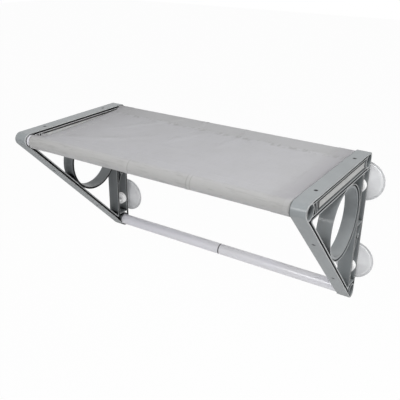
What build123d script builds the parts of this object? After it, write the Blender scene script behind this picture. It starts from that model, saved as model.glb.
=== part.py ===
from build123d import *
import os
from math import atan2, degrees, hypot, sqrt

os.makedirs("parts", exist_ok=True)

# Window mounted cat perch. Two moulded brackets stand out from the window on four suction
# cups, three tubes join them, and a fabric sling is stretched over the two upper tubes.
# The drawings below measure back and down from a bracket's top rear corner: y is 0 at the
# bracket's rear face and falls towards the nose, and z is 0 at its top and falls downwards.
# The finished pieces are then moved so that the origin is on the glass, midway between
# the four cups, with X along the perch, Y into the window and Z up.

# Overall size of the perch
perch_span = 614.0
bracket_depth = 300.0
bracket_height = 309.0
bracket_width = 27.0
glass_gap = 19.0

# Clearances and the one overrun that every cut uses
seat_gap = 0.1
socket_gap = 0.15
soft_gap = 0.3
neck_gap = 0.1
overrun = 2.0

# Moulded bracket: its members, walls and corners
rail_height = 33.0
upright_depth = 38.0
strut_depth = 8.5
strut_wall = 2.4
skin_wall = 2.0
rib_wall = 1.5
web_wall = 2.0
groove_width = 2.5
rail_lower_groove = 4.0
nose_radius = 13.0
tip_radius = 12.0
heel_radius = 10.0
opening_radius = 2.5
edge_round = 0.6
ring_thickness = 4.6
ring_wall = 1.3
ring_merge = 0.8
ring_taper = 3.0
ring_setback = 2.0

# Cross tubes, each in two halves with a joiner inside the seam
tube_radius = 12.0
tube_wall = 1.6
tube_cover = 3.0
front_tube_setback = 17.0
lower_tube_setback = 15.5
lower_tube_rise = 18.0
collar_width = 1.2
joiner_length = 90.0
joiner_wall = 1.8

# Sockets for the tubes in the bracket's three corners
socket_wall = 2.6
socket_floor = 2.0
socket_recess = 9.0
socket_mouth_step = 1.8
socket_mouth_depth = 2.5

# Steel bar in each top rail and steel strip in each strut
bar_front_setback = 47.5
bar_rear_setback = 39.5
bar_end_room = 3.0
bar_height = 11.0
bar_lift = 0.5
bar_wall = 1.5
bar_setback = 0.5
strip_thickness = 2.0
strip_setback = 6.0

# Countersunk screws through the top skin and the strut
screw_inset = 19.0
screw_radius = 1.75
screw_head_radius = 3.5
screw_head_height = 2.0
rail_screw_length = 16.0
strut_screw_length = 5.5
recess_width = 0.9
recess_length = 3.6
recess_depth = 1.1
boss_radius = 4.5

# Suction cups and the nuts on their studs
cup_drop = 67.0
cup_foot_rise = 70.0
cup_radius = 40.5
cup_lip = 4.5
cup_edge = 1.2
cup_step = 1.5
cup_dish = 5.0
cup_crown = 9.5
cup_hub_radius = 14.0
neck_radius = 6.0
stud_radius = 4.0
nut_radius = 13.4
nut_height = 10.0
nut_chamfer = 0.8
nut_hollow_radius = 6.8
nut_hollow_depth = 5.5
stud_stand = 2.5

# Full width ribs between the pocket's front end and the nose's socket
end_rib_count = 2
end_rib_pitch = 5.5

# Upright: cross ribs, the boss between them and the opening in its rear wall
mid_rib_lift = 14.0
boss_fall = 13.0
upright_boss_radius = 4.6
upright_boss_hole = 1.9
low_rib_lift = 6.0
window_width = 19.0
window_height = 10.0

# Fabric sling
fabric_thickness = 1.1
sling_left_gap = 9.8
sling_right_gap = 1.2
front_seam_reach = 17.0
rear_seam_reach = 45.0
hem_width = 34.0
hem_step = 0.6

# Places that follow from the sizes above
inner_face = perch_span / 2 - bracket_width
outer_face = perch_span / 2
mid_plane = inner_face + bracket_width / 2
upper_tube_z = -(tube_cover + tube_radius)
rear_tube_y = -(tube_cover + tube_radius)
front_tube_y = front_tube_setback - bracket_depth
lower_tube_y = -lower_tube_setback
lower_tube_z = lower_tube_rise - bracket_height
socket_bore = tube_radius + socket_gap
socket_radius = tube_radius + socket_wall
socket_depth = bracket_width - socket_recess - socket_floor
tube_centres = ((front_tube_y, upper_tube_z), (rear_tube_y, upper_tube_z), (lower_tube_y, lower_tube_z))
upper_rib_z = -(skin_wall + groove_width)
lower_rib_z = -(rail_height - skin_wall - rail_lower_groove)
front_rib_y = -(upright_depth - skin_wall - groove_width)
rear_rib_y = -(skin_wall + groove_width)
rib_gap_top = upper_rib_z - rib_wall
rib_gap_bottom = lower_rib_z + rib_wall
bar_z = (rib_gap_top + rib_gap_bottom) / 2 + bar_lift
bar_length = bracket_depth - bar_front_setback - bar_rear_setback
bar_y = -(bar_rear_setback + bar_length / 2)
pocket_rear_y = front_rib_y
pocket_front_y = bar_front_setback - bar_end_room - bracket_depth
screw_pitch = bar_length - 2 * screw_inset
sling_width = 2 * inner_face - sling_left_gap - sling_right_gap
sling_shift = (sling_left_gap - sling_right_gap) / 2
low_rib_z = lower_tube_z + socket_radius + low_rib_lift
neck_length = skin_wall + groove_width + rib_wall
nut_seat_y = -(neck_length + soft_gap)
cup_pitch = bracket_height - cup_drop - cup_foot_rise
cup_heights = (-cup_drop, -(cup_drop + cup_pitch))
cup_middle_drop = cup_drop + cup_pitch / 2
mid_rib_drop = cup_middle_drop - mid_rib_lift
boss_drop = cup_middle_drop + boss_fall
perch_lift = cup_drop + cup_pitch / 2
placed = Pos(0, -glass_gap, perch_lift)


def along(start, end):
    """Unit vector from one drawing point to another."""
    step = (end[0] - start[0], end[1] - start[1])
    size = hypot(*step)
    return (step[0] / size, step[1] / size)


def shifted(point, direction, distance):
    """Drawing point moved a distance along a direction."""
    return (point[0] + direction[0] * distance, point[1] + direction[1] * distance)


nose_centre = (nose_radius - bracket_depth, -nose_radius)
tip_centre = (-tip_radius, tip_radius - bracket_height)


def strut_outer_normal():
    """Direction square to the strut's outer face, which touches the nose and the tip arcs."""
    run = along(nose_centre, tip_centre)
    reach = hypot(tip_centre[0] - nose_centre[0], tip_centre[1] - nose_centre[1])
    lean = (nose_radius - tip_radius) / reach
    square = (run[1], -run[0])
    upright_share = sqrt(1 - lean * lean)
    return (run[0] * lean + square[0] * upright_share, run[1] * lean + square[1] * upright_share)


outward = strut_outer_normal()
strut_top = shifted(nose_centre, outward, nose_radius)
strut_foot = shifted(tip_centre, outward, tip_radius)
strut_run = along(strut_top, strut_foot)
strut_middle = ((strut_top[0] + strut_foot[0]) / 2, (strut_top[1] + strut_foot[1]) / 2)
strut_slot = strut_depth - 2 * strut_wall


def bracket_outline(inset):
    """Face inside the bracket's outer edge, moved in by an inset."""
    nose = nose_radius - inset
    tip = tip_radius - inset
    heel = max(heel_radius - inset, edge_round)
    nose_start = (nose_centre[0], -inset)
    nose_front = (nose_centre[0] - nose, nose_centre[1])
    nose_end = shifted(nose_centre, outward, nose)
    tip_start = shifted(tip_centre, outward, tip)
    tip_low = (tip_centre[0], tip_centre[1] - tip)
    tip_end = (-inset, tip_centre[1])
    heel_start = (-inset, -inset - heel)
    heel_end = (-inset - heel, -inset)
    heel_centre = (-inset - heel, -inset - heel)
    heel_mid = shifted(heel_centre, along((-1, -1), (0, 0)), heel)
    edges = [
        Line(heel_end, nose_start),
        ThreePointArc(nose_start, nose_front, nose_end),
        Line(nose_end, tip_start),
        ThreePointArc(tip_start, tip_low, tip_end),
        Line(tip_end, heel_start),
        ThreePointArc(heel_start, heel_mid, heel_end),
    ]
    return make_face(edges)


def opening_corners(grow):
    """Corners of the triangle inside the rail, upright and strut, moved out by grow."""
    rail_z = grow - rail_height
    upright_y = grow - upright_depth
    on_strut = shifted(strut_top, outward, grow - strut_depth)
    slope = strut_run[1] / strut_run[0]
    front = (on_strut[0] + (rail_z - on_strut[1]) / slope, rail_z)
    foot = (upright_y, on_strut[1] + (upright_y - on_strut[0]) * slope)
    return front, (upright_y, rail_z), foot


def opening_face(grow):
    """Triangle inside the bracket, with its corners rounded."""
    triangle = make_face(Polyline(*opening_corners(grow), close=True))
    return fillet(triangle.vertices(), opening_radius)


def ring_circle():
    """Centre and radius of the circle that touches the triangle's three sides."""
    front, corner, foot = opening_corners(0)
    top_side = corner[0] - front[0]
    rear_side = corner[1] - foot[1]
    slant = hypot(front[0] - foot[0], front[1] - foot[1])
    radius = (top_side + rear_side - slant) / 2
    return (corner[0] - radius, corner[1] - radius), radius


ring_centre, ring_touch_radius = ring_circle()
ring_radius = ring_touch_radius + ring_merge


def block(y_low, y_high, z_low, z_high):
    """Rectangle in the drawing from two pairs of limits."""
    middle = ((y_low + y_high) / 2, (z_low + z_high) / 2)
    return Pos(*middle) * Rectangle(y_high - y_low, z_high - z_low)


def raised(face, start, thickness):
    """Solid over a drawing face, from a distance outside the bracket's inner face."""
    return extrude(Plane.YZ.offset(inner_face + start) * face, amount=thickness)


def bar_of_round(centre, radius, start, length):
    """Round bar along the perch at a drawing point."""
    return raised(Pos(*centre) * Circle(radius), start, length)


def strut_wall_face(depth_low, depth_high):
    """Wall along the strut between two depths below its outer face."""
    front, _, foot = opening_corners(0)
    length = hypot(front[0] - foot[0], front[1] - foot[1])
    depth_in = strut_depth - (depth_low + depth_high) / 2
    middle = shifted(((front[0] + foot[0]) / 2, (front[1] + foot[1]) / 2), outward, depth_in)
    turn = degrees(atan2(strut_run[1], strut_run[0]))
    return Pos(*middle) * Rot(0, 0, turn) * Rectangle(length, depth_high - depth_low)


def member_walls():
    """Drawing of every wall and rib that runs the bracket's full width."""
    faces = [opening_face(skin_wall) - opening_face(0)]
    faces.append(strut_wall_face(0, strut_wall))
    faces.append(strut_wall_face(strut_depth - strut_wall, strut_depth))
    faces.append(block(front_tube_y, rear_tube_y, upper_rib_z - rib_wall, upper_rib_z))
    faces.append(block(front_tube_y, rear_rib_y, lower_rib_z, lower_rib_z + rib_wall))
    faces.append(block(-upright_depth, -skin_wall / 2, -rail_height, skin_wall - rail_height))
    faces.append(block(front_rib_y, front_rib_y + rib_wall, low_rib_z, -rail_height + skin_wall))
    faces.append(block(rear_rib_y - rib_wall, rear_rib_y, low_rib_z, upper_rib_z))
    faces.append(block(front_rib_y, front_rib_y + rib_wall, lower_rib_z, upper_rib_z))
    for rib_z in (-mid_rib_drop, low_rib_z):
        faces.append(block(front_rib_y, rear_rib_y, rib_z - rib_wall, rib_z))
    for step in range(end_rib_count):
        rib_y = pocket_front_y - step * end_rib_pitch
        faces.append(block(rib_y - rib_wall, rib_y, lower_rib_z, upper_rib_z))
    ring = Circle(ring_radius) - Circle(ring_radius - ring_wall)
    faces.append(Pos(*ring_centre) * ring)
    return faces


def ring_lining():
    """Inner wall of the round ring, tapered to a thick rim a little behind the bracket's outer face."""
    bore = ring_radius - ring_thickness
    length = bracket_width - ring_setback
    slope = ring_taper / length
    middle = Plane.YZ.offset(inner_face + length / 2) * Pos(*ring_centre)
    wide = bore + slope * overrun
    cut = Cone(wide, bore - ring_taper - slope * overrun, length + 2 * overrun)
    return bar_of_round(ring_centre, bore + ring_wall, 0, length) - middle * cut


def web_face():
    """Drawing of the thin plate at mid width that joins the walls of each member."""
    plate = bracket_outline(skin_wall / 2) - opening_face(skin_wall / 2)
    plate -= block(pocket_front_y, pocket_rear_y, lower_rib_z + rib_wall, upper_rib_z - rib_wall)
    open_foot = lower_tube_z + socket_radius / 2
    plate -= block(front_rib_y + rib_wall, rear_rib_y - rib_wall, open_foot, -rail_height)
    slot = Rectangle(bar_length + 2 * soft_gap, strut_slot)
    turn = degrees(atan2(strut_run[1], strut_run[0]))
    slot_middle = shifted(strut_middle, outward, -strut_depth / 2)
    plate -= Pos(*slot_middle) * Rot(0, 0, turn) * slot
    ring = Circle(ring_radius - ring_wall / 2) - Circle(ring_radius - ring_thickness + ring_wall / 2)
    return plate, Pos(*ring_centre) * ring


def upright_boss():
    """Round boss in the upright with the sloping ribs that carry it."""
    centre = ((front_rib_y + rear_rib_y) / 2, -boss_drop)
    tube = bar_of_round(centre, upright_boss_radius, 0, bracket_width)
    low = (rear_rib_y - rib_wall / 2, -mid_rib_drop)
    foot = (front_rib_y + rib_wall / 2, 2 * centre[1] + mid_rib_drop)
    run = along(low, foot)
    side = (run[1] * rib_wall / 2, -run[0] * rib_wall / 2)
    corners = [
        (low[0] + side[0], low[1] + side[1]),
        (foot[0] + side[0], foot[1] + side[1]),
        (foot[0] - side[0], foot[1] - side[1]),
        (low[0] - side[0], low[1] - side[1]),
    ]
    rib = raised(make_face(Polyline(*corners, close=True)), 0, bracket_width)
    hole = bar_of_round(centre, upright_boss_hole, -overrun, bracket_width + 2 * overrun)
    return tube + rib, hole


def neck_hole(cup_z):
    """Round cut through both skins of the upright's rear wall for a cup's neck."""
    face = Pos(mid_plane, cup_z) * Circle(neck_radius + neck_gap)
    return extrude(Plane.XZ.offset(-overrun) * face, amount=neck_length + 2 * overrun)


def rear_window():
    """Cut through the upright's rear wall below its lowest rib."""
    top = low_rib_z - rib_wall - soft_gap
    low = top - window_height
    face = Pos(mid_plane, (top + low) / 2) * Rectangle(window_width, window_height)
    return extrude(Plane.XZ.offset(-overrun) * face, amount=neck_length + 2 * overrun)


def screw_plane_rail(y):
    """Plane on the top face at a screw, facing up."""
    return Plane(origin=(mid_plane, y, 0), x_dir=(1, 0, 0), z_dir=(0, 0, 1))


def screw_plane_strut(distance):
    """Plane on the strut's outer face at a screw, facing out."""
    point = shifted(strut_middle, strut_run, distance)
    return Plane(origin=(mid_plane, point[0], point[1]), x_dir=(1, 0, 0), z_dir=(0, outward[0], outward[1]))


def countersunk(plane, length, allowance):
    """Screw body, or the hole for one when the allowance is a clearance."""
    shank = Pos(0, 0, -length / 2) * Cylinder(screw_radius + allowance, length)
    wide = screw_head_radius + allowance
    head = Pos(0, 0, -screw_head_height / 2) * Cone(screw_radius + allowance, wide, screw_head_height)
    return plane * (shank + head)


def cross_recess(plane):
    """Cross shaped driver recess in a screw head."""
    bar = Pos(0, 0, -recess_depth / 2) * Box(recess_length, recess_width, recess_depth)
    other = Pos(0, 0, -recess_depth / 2) * Box(recess_width, recess_length, recess_depth)
    return plane * (bar + other)


rail_screw_planes = [screw_plane_rail(bar_y + side * screw_pitch / 2) for side in (-1, 1)]
strut_screw_planes = [screw_plane_strut(side * screw_pitch / 2) for side in (-1, 1)]


def rail_bosses():
    """Bosses above and below the rail bar at each screw."""
    upper_gap = rib_gap_top - bar_z - bar_height / 2
    lower_gap = bar_z - bar_height / 2 - rib_gap_bottom
    bosses = []
    for plane in rail_screw_planes:
        x, y = plane.origin.X, plane.origin.Y
        upper = upper_gap - seat_gap + rib_wall / 2
        lower = lower_gap - seat_gap + rib_wall / 2
        bosses.append(Pos(x, y, rib_gap_top + rib_wall / 2 - upper / 2) * Cylinder(boss_radius, upper))
        bosses.append(Pos(x, y, rib_gap_bottom - rib_wall / 2 + lower / 2) * Cylinder(boss_radius, lower))
    return bosses


def make_bracket():
    """One moulded bracket, on the side of positive X."""
    shell = raised(bracket_outline(0), 0, bracket_width)
    rims = shell.faces().filter_by(Axis.X).edges()
    shell = fillet(rims, edge_round)
    shell -= raised(bracket_outline(skin_wall), -overrun, bracket_width + 2 * overrun)
    body = shell
    inside = raised(bracket_outline(skin_wall / 2), 0, bracket_width)
    for face in member_walls():
        body += raised(face, 0, bracket_width) & inside
    web_start = (bracket_width - web_wall) / 2
    for face in web_face():
        body += raised(face, web_start, web_wall)
    body += ring_lining()
    boss, boss_hole = upright_boss()
    body += boss
    for centre in tube_centres:
        body += bar_of_round(centre, socket_radius, 0, bracket_width) & inside
    body += rail_bosses()
    body -= boss_hole
    for centre in tube_centres:
        body -= bar_of_round(centre, socket_bore, -overrun, socket_depth + overrun)
        mouth = socket_bore + socket_mouth_step
        body -= bar_of_round(centre, mouth, -overrun, socket_mouth_depth + overrun)
        body -= bar_of_round(centre, socket_bore, bracket_width - socket_recess, socket_recess + overrun)
    for cup_z in cup_heights:
        body -= neck_hole(cup_z)
    body -= rear_window()
    for plane in rail_screw_planes:
        body -= countersunk(plane, rail_screw_length + overrun, seat_gap)
    for plane in strut_screw_planes:
        body -= countersunk(plane, strut_screw_length + seat_gap, seat_gap)
    return body


def make_rail_bar():
    """Hollow steel bar that lies between the top rail's ribs."""
    width = bracket_width - 2 * bar_setback
    bar = Box(width, bar_length, bar_height)
    bar -= Box(width - 2 * bar_wall, bar_length + 2 * overrun, bar_height - 2 * bar_wall)
    bar = Pos(mid_plane, bar_y, bar_z) * bar
    for plane in rail_screw_planes:
        bar -= countersunk(plane, rail_screw_length + overrun, seat_gap)
    return bar


def make_strut_strip():
    """Flat steel strip that lies in the strut's slot against its outer wall."""
    width = bracket_width - 2 * strip_setback
    depth_in = strut_wall + seat_gap + strip_thickness / 2
    middle = shifted(strut_middle, outward, -depth_in)
    plane = Plane(
        origin=(mid_plane, middle[0], middle[1]),
        x_dir=(0, strut_run[0], strut_run[1]),
        z_dir=(0, outward[0], outward[1]),
    )
    strip = plane * Box(bar_length, width, strip_thickness)
    for plane in strut_screw_planes:
        strip -= countersunk(plane, strut_screw_length + overrun, seat_gap)
    return strip


def make_screws(planes, length):
    """Countersunk screws with cross recesses."""
    return [countersunk(plane, length, 0) - cross_recess(plane) for plane in planes]


def make_half_tube(centre):
    """Half of a cross tube, from its socket to the seam at the perch's middle."""
    start = collar_width / 2 + seat_gap
    length = inner_face + socket_depth - seat_gap - start
    ring = Circle(tube_radius) - Circle(tube_radius - tube_wall)
    return extrude(Plane.YZ.offset(start) * Pos(*centre) * ring, amount=length)


def make_joiner(centre):
    """Sleeve inside the two halves of a cross tube, with a collar between their ends."""
    outer = tube_radius - tube_wall - seat_gap
    ring = Circle(outer) - Circle(outer - joiner_wall)
    sleeve = extrude(Plane.YZ.offset(-joiner_length / 2) * Pos(*centre) * ring, amount=joiner_length)
    rim = Circle(tube_radius - seat_gap) - Circle(outer - joiner_wall)
    return sleeve + extrude(Plane.YZ.offset(-collar_width / 2) * Pos(*centre) * rim, amount=collar_width)


def make_cup(cup_z):
    """Suction cup turned about the line through its neck, square to the glass."""
    lip_y = glass_gap
    flange_y = lip_y - cup_edge
    step_y = flange_y - cup_step
    hub_y = lip_y - cup_crown
    dish_y = lip_y - cup_dish
    stud_end = nut_seat_y - nut_height + nut_hollow_depth - stud_stand
    inner_lip = cup_radius - cup_lip
    profile = [
        Line((0, dish_y), (0, stud_end)),
        Line((0, stud_end), (stud_radius, stud_end)),
        Line((stud_radius, stud_end), (stud_radius, nut_seat_y)),
        Line((stud_radius, nut_seat_y), (neck_radius, nut_seat_y)),
        Line((neck_radius, nut_seat_y), (neck_radius, soft_gap)),
        Spline((neck_radius, soft_gap), (cup_hub_radius, hub_y), tangents=((0, 1), (1, 1 / 3))),
        Spline((cup_hub_radius, hub_y), (inner_lip, step_y), tangents=((1, 1 / 3), (1, 1 / 6))),
        Line((inner_lip, step_y), (inner_lip + cup_step / 2, flange_y)),
        Line((inner_lip + cup_step / 2, flange_y), (cup_radius, flange_y)),
        Line((cup_radius, flange_y), (cup_radius, lip_y)),
        Line((cup_radius, lip_y), (inner_lip, lip_y)),
        Spline((inner_lip, lip_y), (0, dish_y), tangents=((-1, -1 / 3), (-1, 0))),
    ]
    solid = revolve(make_face(profile), Axis.Y)
    return Pos(mid_plane, 0, cup_z) * solid


def make_nut(cup_z):
    """Hollow nut on the end of a cup's stud, which clamps the cup to the upright."""
    outer_y = nut_seat_y - nut_height
    floor_y = outer_y + nut_hollow_depth
    profile = Polyline(
        (stud_radius + neck_gap, nut_seat_y),
        (nut_radius, nut_seat_y),
        (nut_radius, outer_y + nut_chamfer),
        (nut_radius - nut_chamfer, outer_y),
        (nut_hollow_radius, outer_y),
        (nut_hollow_radius, floor_y),
        (stud_radius + neck_gap, floor_y),
        close=True,
    )
    return Pos(mid_plane, 0, cup_z) * revolve(make_face(profile), Axis.Y)


def sleeve_face(centre_y, reach, grow):
    """Outline of a sleeve: round over its tube and drawn in to the seam."""
    radius = tube_radius + soft_gap + grow
    top_z = upper_tube_z + radius
    seam = (centre_y + reach, top_z)
    round_part = Pos(centre_y, upper_tube_z) * Circle(radius)
    away = hypot(reach, radius)
    along_seam = along((centre_y, upper_tube_z), seam)
    flat = radius * radius / away
    rise = radius * sqrt(1 - (radius / away) ** 2)
    side = -1 if reach > 0 else 1
    foot = (
        centre_y + along_seam[0] * flat - side * along_seam[1] * rise,
        upper_tube_z + along_seam[1] * flat + side * along_seam[0] * rise,
    )
    tail = Polyline((centre_y, upper_tube_z), (centre_y, top_z), seam, foot, close=True)
    return round_part + make_face(tail)


def make_sling():
    """Fabric stretched between two sleeves, with a hem along each side."""
    sheet_low = upper_tube_z + tube_radius + soft_gap
    sheet_high = sheet_low + fabric_thickness
    section = block(front_tube_y, rear_tube_y, sheet_low, sheet_high)
    for centre_y, reach in ((front_tube_y, front_seam_reach), (rear_tube_y, -rear_seam_reach)):
        section += sleeve_face(centre_y, reach, fabric_thickness)
    for centre_y, reach in ((front_tube_y, front_seam_reach), (rear_tube_y, -rear_seam_reach)):
        section -= sleeve_face(centre_y, reach, 0)
    left_edge = sling_shift - sling_width / 2
    sling = extrude(Plane.YZ.offset(left_edge) * section, amount=sling_width)
    front_hem = front_tube_y + front_seam_reach
    rear_hem = rear_tube_y - rear_seam_reach
    hem = block(front_hem, rear_hem, sheet_low - hem_step, sheet_low)
    for start in (left_edge, left_edge + sling_width - hem_width):
        sling += extrude(Plane.YZ.offset(start) * hem, amount=hem_width)
    return sling


def put(name, *solids):
    """Write one node, moved to the perch's own frame."""
    moved = [placed * solid for solid in solids]
    shape = moved[0] if len(moved) == 1 else Compound(children=moved)
    export_step(shape, f"parts/{name}.step")


def both_sides(right_solids):
    """Pieces of one side followed by their mirror images."""
    return list(right_solids) + [mirror(solid, about=Plane.YZ) for solid in right_solids]


def put_pair(name, solid):
    """Write a piece of the right side and its mirror image on the left."""
    put(f"right_{name}", solid)
    put(f"left_{name}", mirror(solid, about=Plane.YZ))


put_pair("bracket", make_bracket())
put_pair("rail_bar", make_rail_bar())
put_pair("strut_strip", make_strut_strip())
put("rail_screws", *both_sides(make_screws(rail_screw_planes, rail_screw_length)))
put("strut_screws", *both_sides(make_screws(strut_screw_planes, strut_screw_length)))

for name, centre in zip(("front", "rear", "lower"), tube_centres):
    half = make_half_tube(centre)
    put(f"{name}_tube_right", half)
    put(f"{name}_tube_left", mirror(half, about=Plane.YZ))
    put(f"{name}_tube_joiner", make_joiner(centre))

for name, cup_z in zip(("upper", "lower"), cup_heights):
    cup = make_cup(cup_z)
    nut = make_nut(cup_z)
    put(f"{name}_right_cup", cup)
    put(f"{name}_left_cup", mirror(cup, about=Plane.YZ))
    put(f"{name}_right_cup_nut", nut)
    put(f"{name}_left_cup_nut", mirror(nut, about=Plane.YZ))

put("fabric_sling", make_sling())
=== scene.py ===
"""Looks of the window mounted cat perch: finishes, cloth sling, stitching, light and camera.

Lengths are in metres in the frame that the solids share. The x axis runs along the perch from its
middle, y is nought at the pane and negative in the room, and z is up.
"""

import logging
import math
from dataclasses import dataclass
from enum import Enum
from typing import Any, Callable, Iterable, Sequence, Union

import bmesh
import bpy
from mathutils import Matrix, Vector, noise

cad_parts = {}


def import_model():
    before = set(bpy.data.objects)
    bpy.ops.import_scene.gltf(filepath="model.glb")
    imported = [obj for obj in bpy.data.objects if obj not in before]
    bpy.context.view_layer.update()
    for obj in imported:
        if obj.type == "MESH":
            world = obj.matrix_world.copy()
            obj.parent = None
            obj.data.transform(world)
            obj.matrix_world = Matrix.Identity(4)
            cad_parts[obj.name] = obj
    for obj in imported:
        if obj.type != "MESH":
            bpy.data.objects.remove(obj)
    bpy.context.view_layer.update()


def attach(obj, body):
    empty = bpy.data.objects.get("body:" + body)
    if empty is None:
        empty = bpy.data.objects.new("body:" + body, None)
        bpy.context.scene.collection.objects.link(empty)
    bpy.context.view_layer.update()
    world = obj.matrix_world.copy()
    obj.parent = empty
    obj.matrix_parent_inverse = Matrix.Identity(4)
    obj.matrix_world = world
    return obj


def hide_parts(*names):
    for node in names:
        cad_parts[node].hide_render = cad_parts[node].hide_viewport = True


log = logging.getLogger("cat_perch")

Colour = tuple[float, float, float]
Point = tuple[float, float, float]
Spot = tuple[float, float]
Pair = tuple[float, float]
Amount = Union["Wire", float]

WHITE: Colour = (1.0, 1.0, 1.0)
CLOSENESS_SAMPLES = 8
# Sockets of the Mix node while it mixes colours: the share, both colours and the result.
MIX_SHARE, MIX_FIRST, MIX_SECOND, MIX_RESULT = 0, 6, 7, 2


class Side(Enum):
    """The two ends of the perch."""

    RIGHT = "right"
    LEFT = "left"


class Run(Enum):
    """The three cross tubes."""

    FRONT = "front"
    REAR = "rear"
    LOWER = "lower"


class Level(Enum):
    """The two heights at which cups grip the glass."""

    UPPER = "upper"
    LOWER = "lower"


class Wire:
    """One socket of a finish's node tree, on which plain arithmetic adds Math nodes."""

    def __init__(self, bench: "Bench", socket: bpy.types.NodeSocket) -> None:
        """Hold a socket and the bench it belongs to."""
        self.bench = bench
        self.socket = socket

    def _math(self, operation: str, first: Amount, second: Amount = 0.0) -> "Wire":
        """Result of one Math node."""
        return self.bench.node("ShaderNodeMath", {"operation": operation}, {0: first, 1: second})

    def __add__(self, other: Amount) -> "Wire":
        """Sum."""
        return self._math("ADD", self, other)

    def __radd__(self, other: Amount) -> "Wire":
        """Sum with a plain number first."""
        return self._math("ADD", other, self)

    def __sub__(self, other: Amount) -> "Wire":
        """Difference."""
        return self._math("SUBTRACT", self, other)

    def __rsub__(self, other: Amount) -> "Wire":
        """Difference from a plain number."""
        return self._math("SUBTRACT", other, self)

    def __mul__(self, other: Amount) -> "Wire":
        """Product."""
        return self._math("MULTIPLY", self, other)

    def __pow__(self, other: Amount) -> "Wire":
        """Power."""
        return self._math("POWER", self, other)

    def bigger(self, limit: float) -> "Wire":
        """One where the value is over a limit, and zero elsewhere."""
        return self._math("GREATER_THAN", self, limit)

    def size(self) -> "Wire":
        """Value without its sign."""
        return self._math("ABSOLUTE", self)

    def wave(self, length: float) -> "Wire":
        """Sine of the value over a wavelength."""
        return self._math("SINE", self * (math.tau / length))

    def swing(self, size: float) -> "Wire":
        """Variation of a given size about nought, from one between zero and one."""
        return (self - 0.5) * size

    def eased(self, low: float, high: float) -> "Wire":
        """Smooth step from zero at a low value to one at a high value."""
        values = {"Value": self, "From Min": low, "From Max": high}
        return self.bench.node("ShaderNodeMapRange", {"interpolation_type": "SMOOTHSTEP"}, values)


@dataclass(frozen=True)
class Band:
    """Two limits on a wire, and how much of a tint shows there."""

    low: float
    high: float
    share: float = 1.0

    def inside(self, wire: Wire) -> Wire:
        """The share between the limits, and nothing outside them."""
        return wire.bigger(self.low) * (1.0 - wire.bigger(self.high)) * self.share

    def up(self, wire: Wire) -> Wire:
        """Nothing at the low limit, rising smoothly to the share at the high one."""
        return wire.eased(self.low, self.high) * self.share

    def down(self, wire: Wire) -> Wire:
        """The share at the low limit, falling smoothly to nothing at the high one."""
        return (1.0 - wire.eased(self.low, self.high)) * self.share


def distance(first: Wire, second: Wire) -> Wire:
    """Length of two offsets that stand at right angles."""
    return (first * first + second * second) ** 0.5


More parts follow.
